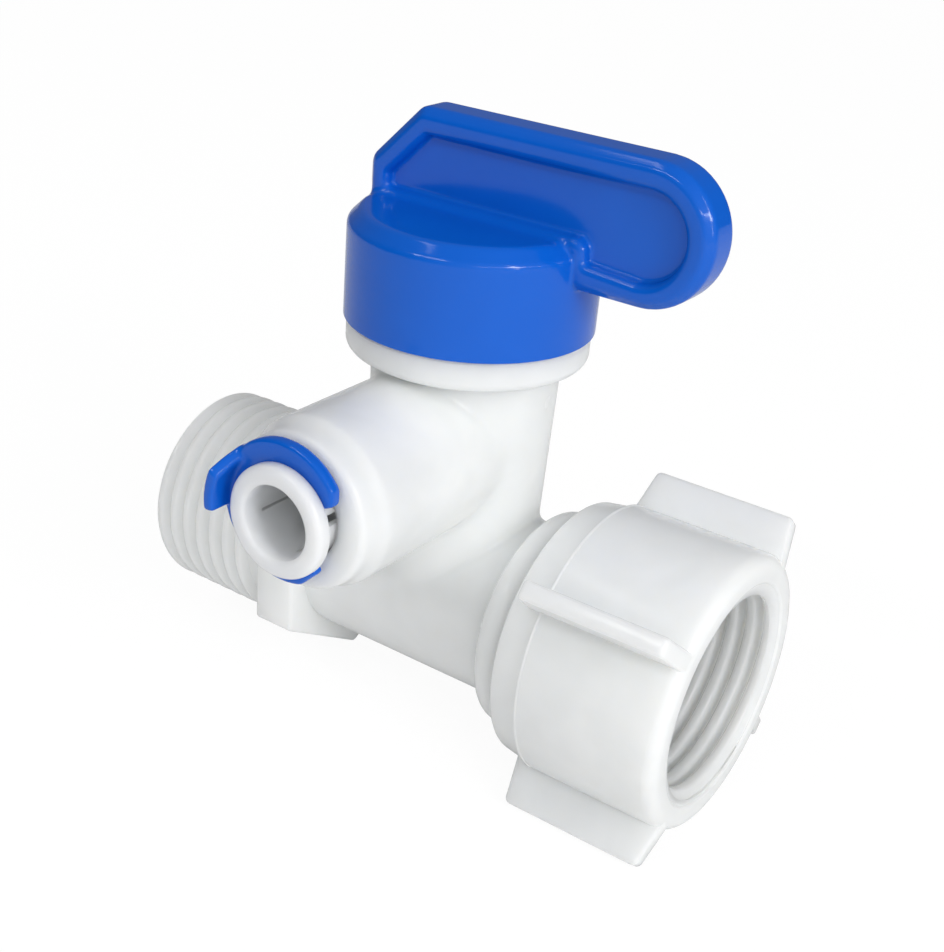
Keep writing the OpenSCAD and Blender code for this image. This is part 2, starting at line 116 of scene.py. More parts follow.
# A single point drawn out along a line
def traced(name, points, closed=True):
    bpy.ops.object.select_all(action="DESELECT")
    bpy.ops.mesh.primitive_plane_add(size=1)
    piece = bpy.context.object
    piece.name = name
    bpy.ops.object.mode_set(mode="EDIT")
    bpy.ops.mesh.select_all(action="SELECT")
    bpy.ops.mesh.merge(type="CENTER")
    bpy.ops.transform.translate(value=points[0])
    line = points + points[:1] if closed else points
    for here, there in zip(line, line[1:]):
        bpy.ops.mesh.extrude_vertices_move(TRANSFORM_OT_translate={"value": there - here})
    bpy.ops.mesh.select_all(action="SELECT")
    bpy.ops.mesh.remove_doubles(threshold=joined)
    return piece


# Opens a piece for edits on all of its mesh
def editAll(piece):
    only(piece)
    bpy.ops.object.mode_set(mode="EDIT")
    bpy.ops.mesh.select_all(action="SELECT")


def tidyFaces():
    bpy.ops.mesh.select_all(action="SELECT")
    bpy.ops.mesh.remove_doubles(threshold=joined)
    bpy.ops.mesh.normals_make_consistent(inside=False)
    bpy.ops.object.mode_set(mode="OBJECT")


# An outline of (radius, along) turned about one of the three axes
def turned(name, way, corners, closed=True, start=0, sweep=360, steps=128, cuts=4):
    spot = ways[way]
    piece = traced(name, [spot["put"](r, a, start) for r, a in softened(corners, closed, cuts)], closed)
    bpy.ops.mesh.spin(steps=steps, angle=math.radians(sweep), center=spot["centre"], axis=spot["axis"])
    if sweep < 360:
        bpy.ops.mesh.select_all(action="SELECT")
        bpy.ops.mesh.fill_holes(sides=0)
    tidyFaces()
    return piece


# An outline filled and drawn out to a thickness
def slab(name, points, thickness):
    piece = traced(name, points)
    bpy.ops.mesh.edge_face_add()
    bpy.ops.mesh.extrude_region_move(TRANSFORM_OT_translate={"value": thickness})
    tidyFaces()
    return piece


def modify(piece, kind, **settings):
    only(piece)
    bpy.ops.object.modifier_add(type=kind)
    step = piece.modifiers[-1]
    for key, value in settings.items():
        setattr(step, key, value)
    bpy.ops.object.modifier_apply(modifier=step.name)


def combine(piece, other, how):
    modify(piece, "BOOLEAN", object=other, operation=how, solver="MANIFOLD")
    bpy.data.objects.remove(other)


def softenEdges(piece, width, segments=3, angle=35):
    modify(piece, "BEVEL", width=width, segments=segments, limit_method="ANGLE",
           angle_limit=math.radians(angle), use_clamp_overlap=True)


# A helical ridge about the run: foot and crest are half widths at the root and at the tip
def thread(name, crest, root, start, size):
    deep = root + math.copysign(0.5, root - crest)
    outline = softened([
        (start - size["foot"] - 0.1, deep), (start - size["foot"] - 0.1, root), (start - size["foot"], root, 0.1),
        (start - size["tip"], crest, size["soft"]), (start + size["tip"], crest, size["soft"]),
        (start + size["foot"], root, 0.1), (start + size["foot"] + 0.1, root), (start + size["foot"] + 0.1, deep)],
        True, 5)
    piece = traced(name, [onRun(r, x) for x, r in outline])
    bpy.ops.object.mode_set(mode="OBJECT")
    modify(piece, "SCREW", axis="X", angle=math.tau, screw_offset=size["pitch"], iterations=size["turns"],
           steps=96, render_steps=96)
    editAll(piece)
    bpy.ops.mesh.fill_holes(sides=0)
    tidyFaces()
    return piece


# A copy with its own mesh, turned about one of the three axes
def turnedCopy(piece, way, angle):
    only(piece)
    bpy.ops.object.duplicate()
    twin = bpy.context.object
    editAll(twin)
    bpy.ops.transform.rotate(value=math.radians(angle) * ways[way]["sense"], orient_axis=ways[way]["letter"],
                             center_override=ways[way]["centre"])
    bpy.ops.object.mode_set(mode="OBJECT")
    return twin


def weigh(piece, name, test):
    group = piece.vertex_groups.new(name=name)
    group.add([v.index for v in piece.data.vertices if test(v.co)], 1, "REPLACE")
    return name


def finishPiece(piece, body, replaced, material, angle=32):
    only(piece)
    piece.vertex_groups.clear()
    piece.scale = (mm, mm, mm)
    bpy.ops.object.transform_apply(location=True, rotation=True, scale=True)
    bpy.ops.object.shade_smooth_by_angle(angle=math.radians(angle))
    piece.data.materials.clear()
    piece.data.materials.append(material)
    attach(piece, body)
    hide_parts(replaced)
    print(piece.name, "made,", len(piece.data.polygons), "faces")


# Materials

# A value in a material, for sums on it
class Wire:
    def __init__(self, tree, socket=None):
        self.tree = tree
        self.socket = socket

    def node(self, kind, settings, inputs, output=0):
        made = self.tree.nodes.new(kind)
        for key, value in settings.items():
            setattr(made, key, value)
        for key, value in inputs.items():
            if isinstance(value, Wire):
                self.tree.links.new(value.socket, made.inputs[key])
            else:
                made.inputs[key].default_value = value
        return Wire(self.tree, made.outputs[output])

    def sum(self, how, first, second):
        return self.node("ShaderNodeMath", {"operation": how}, {0: first, 1: second})

    def __add__(self, other): return self.sum("ADD", self, other)
    def __radd__(self, other): return self.sum("ADD", other, self)
    def __rsub__(self, other): return self.sum("SUBTRACT", other, self)
    def __mul__(self, other): return self.sum("MULTIPLY", self, other)

    def mix(self, low, high):
        return self.node("ShaderNodeMix", {"data_type": "RGBA"}, {"Factor": self, 6: low, 7: high}, 2)


def newMaterial(name):
    material = bpy.data.materials.new(name)
    material.use_nodes = True
    material.node_tree.nodes.clear()
    shader = material.node_tree.nodes.new("ShaderNodeBsdfPrincipled")
    out = material.node_tree.nodes.new("ShaderNodeOutputMaterial")
    material.node_tree.links.new(shader.outputs["BSDF"], out.inputs["Surface"])
    wire = Wire(material.node_tree)
    place = wire.node("ShaderNodeTexCoord", {}, {}, "Object")
    return material, shader, wire, place


def feed(wire, shader, **inputs):
    for key, value in inputs.items():
        socket = shader.inputs[key.replace("_", " ")]
        if isinstance(value, Wire):
            wire.tree.links.new(value.socket, socket)
        else:
            socket.default_value = value


# Injection-moulded plastic: a broad mottled tone, partly the moulding's own flow and partly painted cloudy
# reflection, a faint waviness and a fine skin
def mouldedPlastic(name, pale, deep, rough, roughSpread, coat, waves, grain, milky=0, gloss=0.35):
    material, shader, wire, place = newMaterial(name)
    flowAndReflection = wire.node("ShaderNodeTexNoise", {}, {"Vector": place, "Scale": 130.0, "Detail": 2.0, "Distortion": 0.5})
    skin = wire.node("ShaderNodeTexNoise", {}, {"Vector": place, "Scale": 2600.0, "Detail": 2.0})
    broad = wire.node("ShaderNodeTexNoise", {}, {"Vector": place, "Scale": 140.0, "Detail": 1.0})
    # Pale-to-deep mottling in the base colour: partly the moulding's flow tone, partly painted cloudy reflection
    colour = flowAndReflection.mix((*pale, 1), (*deep, 1))
    height = broad * waves + skin * grain
    bump = wire.node("ShaderNodeBump", {}, {"Strength": 1.0, "Distance": mm, "Height": height})
    feed(wire, shader, Base_Color=colour, Roughness=flowAndReflection * roughSpread + (rough - roughSpread / 2), Normal=bump,
         Coat_Weight=coat, Coat_Roughness=0.12, IOR=1.5, Specular_IOR_Level=gloss)
    if milky:
        feed(wire, shader, Subsurface_Weight=milky, Subsurface_Scale=4.5 * mm)
        shader.inputs["Subsurface Radius"].default_value = (1.0, 0.95, 0.88)
    return material


# The pale and deep tones set the mottling's contrast, which is partly painted reflection
bodyPlastic = mouldedPlastic("bodyPlastic", (0.95, 0.965, 0.955), (0.79, 0.805, 0.80), 0.24, 0.16, 0.05,
                             0.05, 0.0012, 0.85)
colletPlastic = mouldedPlastic("colletPlastic", (0.92, 0.93, 0.93), (0.87, 0.88, 0.88), 0.24, 0.06, 0.05,
                               0.02, 0.001, 0.85)
bluePlastic = mouldedPlastic("bluePlastic", (0.003, 0.118, 0.62), (0.002, 0.102, 0.56), 0.13, 0.04, 0,
                             0.03, 0.0015, 0, 0.38)
seatPlastic = mouldedPlastic("seatPlastic", (0.82, 0.82, 0.80), (0.76, 0.76, 0.74), 0.45, 0.1, 0, 0.01, 0.002)
blackRubber = mouldedPlastic("blackRubber", (0.022, 0.022, 0.024), (0.012, 0.012, 0.013), 0.55, 0.15, 0, 0.01, 0.004)


def springSteel():
    material, shader, wire, place = newMaterial("springSteel")
    grainSpace = wire.node("ShaderNodeMapping", {}, {"Vector": place, "Scale": (9000, 400, 9000)})
    brushed = wire.node("ShaderNodeTexNoise", {}, {"Vector": grainSpace, "Scale": 1.0, "Detail": 2.0})
    bump = wire.node("ShaderNodeBump", {}, {"Strength": 0.4, "Distance": 0.01 * mm, "Height": brushed})
    feed(wire, shader, Base_Color=brushed.mix((0.62, 0.62, 0.64, 1), (0.78, 0.78, 0.8, 1)), Metallic=1.0,
         Roughness=brushed * 0.15 + 0.25, Normal=bump)
    return material


toothSteel = springSteel()
print("materials made")

# Tee body

tee = {
    "tubeRadius": 8.8, "boreRadius": 6.4, "maleEnd": -31.0, "rootRadius": 9.52, "crestRadius": 10.36,
    "threadStart": -32.095, "threadEnd": -17.6, "hexInner": -11.2, "hexWidth": 4.7, "hexFlats": 21.5,
    "beadMiddle": 11.5, "beadRadius": 10.8, "beadSection": 1.3, "spigotRadius": 8.3, "grooveStart": 16.7,
    "grooveEnd": 17.9, "grooveRadius": 7.3, "spigotEnd": 18.95,
    "towerTop": 24.5, "towerLow": 8.139, "towerHigh": 8.8, "branchRadius": 7.68, "branchFace": 23.403,
    "noseLength": 2.6, "noseWaist": 7.2, "waistPlace": 21.9, "faceRadius": 6.95,
    "thread": {"pitch": 1.814, "turns": 8, "tip": 0.3, "foot": 0.8, "soft": 0.42},
    "endRound": 0.6, "hexEdge": 0.35, "beadBack": 2.5, "beadFoot": 1.25, "beadSweep": 68, "overlap": 2,
    "mouthFlare": 1.3, "farFlare": 0.9,
    "chamber": [(0, 0), (2.2, 0), (2.2, 9.4), (3.35, 9.4), (3.35, 11.3), (5, 11.3), (5, 22.89), (6.4, 22.89),
                (6.4, 26), (0, 26)],
    "outletWay": [(0, 0), (3.35, 0), (3.35, 6.9), (2.2, 6.9), (2.2, 9.6), (3.22, 9.6), (3.22, 13.6), (5, 13.6),
                  (5, 17.2), (5.8, 17.2), (5.8, 21), (4.3, 21), (4.3, 25), (0, 25)],
    "voxel": 0.26, "blendReach": 1.7, "blendWidth": 10.4, "blendRounds": 30, "lastRounds": 3,
}


# Where tower, branch and run flow into one another
def teeJunction(size):
    bpy.ops.object.select_all(action="DESELECT")
    low, high = size["hexInner"] - 1.5, size["beadMiddle"]
    bpy.ops.mesh.primitive_cylinder_add(vertices=160, radius=size["tubeRadius"], depth=high - low,
                                        location=((low + high) / 2, 0, 0), rotation=(0, math.pi / 2, 0))
    piece = bpy.context.object
    piece.name = "teeBody"
    bpy.ops.object.transform_apply(location=True, rotation=True, scale=True)
    spare = 1.5  # cut off again below the bonnet
    slope = (size["towerHigh"] - size["towerLow"]) / size["towerTop"]
    combine(piece, turned("tower", "stem", [(0, 0), (size["towerLow"], 0),
                                            (size["towerHigh"] + slope * spare, size["towerTop"] + spare),
                                            (0, size["towerTop"] + spare)], False, steps=160), "UNION")
    combine(piece, turned("branch", "outlet", [
        (0, 0), (size["branchRadius"], 0), (size["branchRadius"], size["branchFace"] - size["noseLength"], 0.7),
        (size["noseWaist"], size["waistPlace"], 1.6), (size["faceRadius"], size["branchFace"], 0.4),
        (0, size["branchFace"])], False, steps=160), "UNION")
    modify(piece, "REMESH", mode="VOXEL", voxel_size=size["voxel"])

    def nearCorner(spot):
        fromRun = math.hypot(spot.y, spot.z) - size["tubeRadius"]
        fromTower = math.hypot(spot.x, spot.y) - size["towerLow"] - slope * spot.z
        fromBranch = math.hypot(spot.x, spot.z - outletZ) - size["branchRadius"]
        if spot.y > 0:
            fromBranch = math.inf  # the branch is on the near side only
        near = sorted(abs(d) for d in (fromRun, fromTower, fromBranch))
        return near[1] < size["blendReach"] and spot.z > 0 and abs(spot.x) < size["blendWidth"]

    modify(piece, "SMOOTH", factor=0.5, iterations=size["blendRounds"],
           vertex_group=weigh(piece, "corners", nearCorner))
    modify(piece, "SMOOTH", factor=0.5, iterations=size["lastRounds"])
    editAll(piece)
    bpy.ops.mesh.bisect(plane_co=(0, 0, size["towerTop"]), plane_no=(0, 0, 1), use_fill=True, clear_outer=True)
    bpy.ops.object.mode_set(mode="OBJECT")
    return piece


def makeTee(size):
    piece = teeJunction(size)
    print("junction blended")
    start, hidden, root = size["maleEnd"], size["hexInner"] - size["overlap"], size["rootRadius"]
    male = turned("maleEnd", "run", [(0, start), (root, start, size["endRound"]), (root, hidden), (0, hidden)],
                  False)
    ridge = thread("maleThread", size["crestRadius"], root - 0.01, size["threadStart"], size["thread"])
    past = size["crestRadius"] + 0.05  # just clear of the ridge, which runs out at both ends
    limit = turned("threadLimit", "run", [
        (0, start + 0.1), (root - 0.1, start + 0.1), (past, start + 0.95), (past, size["threadEnd"] - 1.1),
        (root - 0.3, size["threadEnd"]), (0, size["threadEnd"])], False)
    combine(ridge, limit, "INTERSECT")
    combine(male, ridge, "UNION")
    bpy.ops.object.select_all(action="DESELECT")
    bpy.ops.mesh.primitive_cylinder_add(
        vertices=6, radius=size["hexFlats"] / 2 / math.cos(math.pi / 6), depth=size["hexWidth"],
        location=(size["hexInner"] - size["hexWidth"] / 2, 0, 0), rotation=(0, math.pi / 2, 0))
    hexagon = bpy.context.object
    bpy.ops.object.transform_apply(location=True, rotation=True, scale=True)
    editAll(hexagon)
    bpy.ops.transform.rotate(value=math.pi / 6, orient_axis="X", center_override=(0, 0, 0))
    bpy.ops.mesh.bevel(offset=size["hexEdge"], segments=3, affect="EDGES")
    bpy.ops.object.mode_set(mode="OBJECT")
    combine(male, hexagon, "UNION")
    combine(piece, male, "UNION")
    middle, section, sweep = size["beadMiddle"], size["beadSection"], size["beadSweep"]
    bead = [(0, middle - size["beadBack"]), (size["tubeRadius"], middle - size["beadBack"]),
            (size["tubeRadius"], middle - size["beadFoot"])]
    bead += bow(size["beadRadius"] - section, middle, section, -sweep, sweep, 12)
    bead += [(size["spigotRadius"], middle + size["beadFoot"]), (size["spigotRadius"], size["grooveStart"]),
             (size["grooveRadius"], size["grooveStart"]), (size["grooveRadius"], size["grooveEnd"]),
             (size["spigotRadius"], size["grooveEnd"]), (size["spigotRadius"], size["spigotEnd"] - 0.5),
             (size["spigotRadius"] - 0.5, size["spigotEnd"]), (0, size["spigotEnd"])]
    combine(piece, turned("bead", "run", bead, False), "UNION")
    print("tee's outside joined")
    bore, end = size["boreRadius"], size["spigotEnd"]
    combine(piece, turned("runWay", "run", [
        (0, start - 1), (bore + size["mouthFlare"], start - 1), (bore, start + 0.3), (bore, end - 0.2),
        (bore + size["farFlare"], end + 0.7), (0, end + 0.7)], False, steps=96), "DIFFERENCE")
    combine(piece, turned("chamber", "stem", size["chamber"], False, steps=96), "DIFFERENCE")
    combine(piece, turned("outletWay", "outlet", size["outletWay"], False, steps=96), "DIFFERENCE")
    finishPiece(piece, "valve_body", "tee_body", bodyPlastic)


makeTee(tee)

# Swivel nut

nut = {
    "back": 13.65, "backRadius": 12.6, "step": 16.85, "stepRadius": 13.1, "radius": 13.35, "face": 30.9,
    "faceRound": 1.2, "holeRadius": 8.5, "cavity": 16.5, "reliefRadius": 10.8, "boreStart": 21.75,
    "rootRadius": 10.5, "crestRadius": 9.5, "threadStart": 19.64,
    "thread": {"pitch": 1.814, "turns": 7, "tip": 0.42, "foot": 0.8, "soft": 0.34},
    "wingBack": 15.25, "wingFront": 30.75, "wingTip": 17.2, "wingThickness": 1.8, "wingTurn": 40, "wings": 4,
    "wingEdge": 0.3, "wingSlant": 0.8, "wingRound": 0.6, "edgeRise": 0.06, "mouthRound": 0.35,
}


def makeNut(size):
    raised, root = size["radius"] + size["edgeRise"], size["rootRadius"]
    piece = turned("swivelNut", "run", [
        (size["holeRadius"], size["back"], 0.15), (size["backRadius"], size["back"], 0.5),
        (size["stepRadius"], size["step"] - 0.1, 0.1), (raised, size["step"], 0.08),
        (raised, size["step"] + 0.16, 0.05), (size["radius"] - 0.04, size["step"] + 0.28, 0.05),
        (size["radius"], size["step"] + 2, 1), (size["radius"], size["face"], size["faceRound"]),
        (root + size["mouthRound"], size["face"], size["mouthRound"]), (root, size["face"] - 0.4, 0.2),
        (root, size["boreStart"]),
        (size["reliefRadius"], size["boreStart"] - 0.3), (size["reliefRadius"], size["cavity"]),
        (size["holeRadius"], size["cavity"])], True, steps=160, cuts=6)
    back, front, half = size["wingBack"], size["wingFront"], size["wingThickness"] / 2
    tip, slant, rounding = size["wingTip"], size["wingSlant"], size["wingRound"]
    outline = softened([
        (back, size["radius"] - 1), (back + slant, tip, rounding), (front - slant, tip, rounding),
        (front, size["radius"] - 0.6), (front, size["radius"] - 1)], True, 4)
    wing = slab("wing", [Vector((x, -half, r)) for x, r in outline], Vector((0, 2 * half, 0)))
    softenEdges(wing, size["wingEdge"], 3, 40)
    for i in range(size["wings"]):
        combine(piece, turnedCopy(wing, "run", size["wingTurn"] + i * 360 / size["wings"]), "UNION")
    bpy.data.objects.remove(wing)
    ridge = thread("nutThread", size["crestRadius"], root + 0.01, size["threadStart"], size["thread"])
    inside, start, face = size["crestRadius"] - 0.9, size["boreStart"] + 0.3, size["face"]
    limit = turned("threadLimit", "run", [
        (inside, start), (inside, face - 0.9), (size["crestRadius"], face - 0.6), (root, face - 0.2),
        (root + 0.25, face - 0.2), (root + 0.25, start)], True)
    combine(ridge, limit, "INTERSECT")
    combine(piece, ridge, "UNION")
    finishPiece(piece, "nut_body", "swivel_nut", bodyPlastic)


makeNut(nut)

# Bonnet

bonnet = {
    "bottom": 22.94, "stemHole": 3.0, "plugRadius": 6.35, "grooveRadius": 5.39, "grooveMiddle": 23.72,
    "towerTop": 24.5, "flangeRadius": 11.15, "flangeTop": 27.3, "hubRadius": 8.4, "hubTop": 32.6,
    "wellRadius": 5.2, "wellFloor": 29.6, "stopRadius": 8.0, "stopTop": 34.1,
    "grooveHalf": 0.52, "hookStart": 30.5, "hookEdge": 30.95, "hookEnd": 31.9, "hookReach": 0.45,
    "stopFrom": 7, "stopSweep": 256,
}


def makeBonnet(size):
    low, high = size["grooveMiddle"] - size["grooveHalf"], size["grooveMiddle"] + size["grooveHalf"]
    groove = [(size["plugRadius"], low), (size["grooveRadius"], low),
              (size["grooveRadius"], high), (size["plugRadius"], high)]
    hookRadius = size["hubRadius"] + size["hookReach"]
    piece = turned("bonnet", "stem", [
        (size["stemHole"], size["bottom"]), (size["plugRadius"], size["bottom"])] + groove + [
        (size["plugRadius"], size["towerTop"]), (size["flangeRadius"], size["towerTop"], 0.85),
        (size["flangeRadius"], size["flangeTop"], 0.25), (size["hubRadius"], size["flangeTop"]),
        (size["hubRadius"], size["hookStart"]), (hookRadius, size["hookStart"], 0.1),
        (hookRadius, size["hookEdge"], 0.1), (size["hubRadius"], size["hookEnd"]),
        (size["hubRadius"], size["hubTop"]), (size["wellRadius"], size["hubTop"]),
        (size["wellRadius"], size["wellFloor"]), (size["stemHole"], size["wellFloor"])], True, cuts=6)
    stop = turned("stopRing", "stem", [
        (size["wellRadius"], size["hubTop"] - 0.1), (size["stopRadius"], size["hubTop"] - 0.1),
        (size["stopRadius"], size["stopTop"], 0.2), (size["wellRadius"], size["stopTop"], 0.2)],
        True, start=size["stopFrom"], sweep=size["stopSweep"], steps=64)
    combine(piece, stop, "UNION")
    finishPiece(piece, "valve_body", "bonnet", bodyPlastic)


makeBonnet(bonnet)

# Handle

handle = {
    "capRadius": 11.45, "capBottom": 27.45, "capTop": 37.1, "capSlope": 1.25, "slopeRound": 0.8, "capInner": 9.45,
    "capInnerTop": 34.5,
    "bladeHalf": 2.2, "bladeBack": -10.8, "bladeTop": 45.4, "endX": 17.3, "endZ": 39.3, "endRadius": 6.1,
    "cornerCut": 5.26, "edgeRound": 1.25, "edgeSoft": 0.5,
    "recessDepth": 1.2, "rimRound": 0.78, "footRound": 0.22,
    "window": {"left": -9.5, "top": 43.77, "low": 34.55, "sill": 36.92, "web": 11.35, "webLow": 34.95, "cut": 4.45,
               "endX": 17.11, "endZ": 39.16, "endRadius": 4.61, "corner": 1.2},
    "bladeRoot": (10.2, 35.6), "cutProud": 0.06,
    "ribRadius": 8.6, "ribLow": 29.3, "ribHigh": 30.3, "bossRadius": 4.8, "bossLow": 30, "insideTop": 34.6,
    "stopRadius": 7.85, "stopLow": 32.8, "stopHalf": 6, "squareWidth": 4.4, "squareCorner": 3,
    "voxel": 0.17, "softening": 3, "footSoftening": 40, "footReach": 0.65, "footBand": (1.4, 3.2), "footEnd": 10.6,
}


# Both end faces of a slab drawn in and out in small steps
def stepped(piece, normals, steps):
    only(piece)
    bpy.ops.object.mode_set(mode="EDIT")
    bpy.ops.mesh.select_mode(type="FACE")
    bpy.ops.mesh.select_all(action="DESELECT")
    bpy.ops.object.mode_set(mode="OBJECT")
    for face in piece.data.polygons:
        face.select = any(face.normal.dot(Vector(normal)) > 0.99 for normal in normals)
    bpy.ops.object.mode_set(mode="EDIT")
    for inward, along in steps:
        bpy.ops.mesh.inset(thickness=inward, depth=along, use_individual=True, use_even_offset=True)
    bpy.ops.mesh.select_mode(type="VERT")
    tidyFaces()


# Inset steps along an outline of (inward, along)
def strides(corners):
    points = softened(corners, False, 5)
    return [tuple(there - here) for here, there in zip(points, points[1:])]


def makeBlade(size):
    back, top, half = size["bladeBack"], size["bladeTop"], size["bladeHalf"]
    root, low = size["bladeRoot"]
    edge, soft = size["edgeRound"], size["edgeSoft"]
    outline = softened([
        (root, low), (back, low), (back, top - size["cornerCut"], edge + 0.15),
        (back + size["cornerCut"], top, edge + 0.15), (size["endX"], top)], False, 4)
    outline += [Vector(p) for p in bow(size["endX"], size["endZ"], size["endRadius"], 88, -90, 28)]
    outline += [Vector((root, size["endZ"] - size["endRadius"]))]
    core = half - edge
    blade = slab("blade", [Vector((x, -core, z)) for x, z in outline], Vector((0, 2 * core, 0)))
    stepped(blade, [(0, 1, 0), (0, -1, 0)],
            strides([(0, 0), (0, 0.4 * edge, soft), (0.6 * edge, edge, soft), (1.04 * edge, edge)]))
    return blade


def makePocket(size):
    window, half = size["window"], size["bladeHalf"]
    outline = softened([
        (window["left"], window["sill"], window["corner"]),
        (window["left"], window["top"] - window["cut"], window["corner"]),
        (window["left"] + window["cut"], window["top"], window["corner"]), (window["endX"], window["top"])], False, 4)
    outline[:1] = softened([(window["web"], window["sill"]), (window["left"], window["sill"], window["corner"]),
                            (window["left"], window["top"] - window["cut"])], False, 4)[1:-1]
    outline += [Vector(p) for p in bow(window["endX"], window["endZ"], window["endRadius"], 88, -90, 26)]
    outline += softened([(window["endX"], window["low"]), (window["web"], window["webLow"], window["corner"]),
                         (window["web"], window["sill"], 0.45), (window["left"], window["sill"])], False, 4)[1:-1]
    proud = size["cutProud"]
    pocket = slab("pocket", [Vector((x, -half - proud, z)) for x, z in outline], Vector((0, proud, 0)))
    rim, deep = size["rimRound"], size["recessDepth"]
    stepped(pocket, [(0, 1, 0)], strides([(0, 0), (rim, 0, rim - 0.01), (rim, deep, size["footRound"]),
                                          (rim + size["footRound"], deep)]))
    return pocket


def makeHandle(size):
    piece = turned("handle", "stem", [
        (0, size["capBottom"] - 1), (size["capRadius"], size["capBottom"] - 1),
        (size["capRadius"], size["capTop"] - size["capSlope"], size["slopeRound"]),
        (size["capRadius"] - size["capSlope"], size["capTop"], size["slopeRound"]), (0, size["capTop"])],
        False, steps=180, cuts=6)
    combine(piece, makeBlade(size), "UNION")
    pocket = makePocket(size)
    only(pocket)
    bpy.ops.object.duplicate()
    twin = bpy.context.object
    editAll(twin)
    bpy.ops.transform.mirror(constraint_axis=(False, True, False), center_override=(0, 0, 0))
    tidyFaces()
    combine(piece, pocket, "DIFFERENCE")
    combine(piece, twin, "DIFFERENCE")
    print("blade joined to the cap")
    modify(piece, "REMESH", mode="VOXEL", voxel_size=size["voxel"])
    near, far = size["footBand"]
    foot = weigh(piece, "foot", lambda spot: (abs(spot.z - size["capTop"]) < size["footReach"]
                                              and near < abs(spot.y) < far and spot.x < size["footEnd"]))
    modify(piece, "SMOOTH", factor=0.5, iterations=size["footSoftening"], vertex_group=foot)
    modify(piece, "SMOOTH", factor=0.5, iterations=size["softening"])
    combine(piece, turned("cavity", "stem", [
        (0, size["capBottom"] - 3), (size["capRadius"] + 2, size["capBottom"] - 3),
        (size["capRadius"] + 2, size["capBottom"]), (size["capInner"] + 0.3, size["capBottom"]),
        (size["capInner"], size["capBottom"] + 0.3), (size["capInner"], size["capInnerTop"]),
        (0, size["capInnerTop"])], False, steps=128), "DIFFERENCE")
    rib, wall, boss, top = size["ribRadius"], size["capInner"] + 0.1, size["bossRadius"], size["insideTop"]
    combine(piece, turned("snapRib", "stem", [
        (rib, size["ribLow"], 0.2), (wall, size["ribLow"]), (wall, size["ribHigh"]), (rib, size["ribHigh"], 0.2)]),
        "UNION")
    combine(piece, turned("boss", "stem", [(0, size["bossLow"]), (boss, size["bossLow"], 0.2), (boss, top),
                                           (0, top)], False), "UNION")
    stop, low, half = size["stopRadius"], size["stopLow"], size["stopHalf"]
    combine(piece, turned("stopRib", "stem", [(boss - 0.1, low), (stop, low), (stop, top), (boss - 0.1, top)],
                          start=-half, sweep=2 * half, steps=4), "UNION")
    square, corner = size["squareWidth"], size["squareCorner"]
    bpy.ops.object.select_all(action="DESELECT")
    bpy.ops.mesh.primitive_cube_add(size=1, location=(0, 0, 32.5), scale=(square, square, 7))
    socket = bpy.context.object
    bpy.ops.object.transform_apply(location=True, rotation=True, scale=True)
    combine(socket, turned("round", "stem", [(0, 28), (corner, 28), (corner, 37), (0, 37)], False), "INTERSECT")
    combine(piece, socket, "DIFFERENCE")
    finishPiece(piece, "handle_body", "handle", bluePlastic)


makeHandle(handle)

# Collet

collet = {
    "bore": 3.3, "neck": 4.0, "tail": 18.3, "fingerRadius": 4.38, "fingerEnd": 20.0, "flangeStart": 25.05,
    "face": 26.45, "flangeRadius": 5.0, "faceRound": 0.6, "mouthRound": 0.4,
    "slots": {78: 1.0, 168: 0.25, 258: 0.25, 348: 0.25},  # angle and width of each
    "slotStart": 17.3, "slotReach": 5.4, "slotEnd": 24.1, "toothRadius": 4.12, "toothStart": 18.88, "toothEnd": 19.27,
}


def makeCollet(size):
    piece = turned("collet", "outlet", [
        (size["bore"], size["tail"]), (size["fingerRadius"] - 0.3, size["tail"]),
        (size["fingerRadius"], size["tail"] + 0.3), (size["fingerRadius"], size["fingerEnd"]),
        (size["neck"], size["fingerEnd"] + 0.5), (size["neck"], size["flangeStart"], 0.1),
        (size["flangeRadius"], size["flangeStart"], 0.2), (size["flangeRadius"], size["face"], size["faceRound"]),
        (size["bore"], size["face"], size["mouthRound"])], True, cuts=6)
    combine(piece, turned("toothGroove", "outlet", [
        (1, size["toothStart"]), (size["toothRadius"], size["toothStart"]),
        (size["toothRadius"], size["toothEnd"]), (1, size["toothEnd"])]), "DIFFERENCE")
    side = Vector((1, 0, 0))
    start, end, reach = size["slotStart"], size["slotEnd"], size["slotReach"]
    corners = [(1, start), (reach, start), (reach, end), (1, end)]
    slot = slab("slot", [onOutlet(r, p) - side / 2 for r, p in corners], side)
    for angle, width in size["slots"].items():
        cut = turnedCopy(slot, "outlet", 0)
        cut.scale.x = width
        combine(piece, turnedCopy(cut, "outlet", angle), "DIFFERENCE")
        bpy.data.objects.remove(cut)
    bpy.data.objects.remove(slot)
    finishPiece(piece, "collet_body", "collet", colletPlastic)


makeCollet(collet)

# Locking clip

clip = {
    "inner": 4.15, "outer": 6.45, "shift": (-0.55, 0.2), "start": 23.6, "end": 24.85, "openFrom": 62, "openTo": 142,
    "flats": ((90, 4.75), (135, 5.3), (-143, 6.2)), "lipOuter": 7.2, "lipInner": 6.1, "lipFrom": -98, "lipTo": -48,
    "lipTop": 27.2, "rampAt": -50, "rampTilt": 38, "cutFrom": 22, "cutTo": 28, "cutReach": 11,
    "voxel": 0.11, "softening": 60,
}


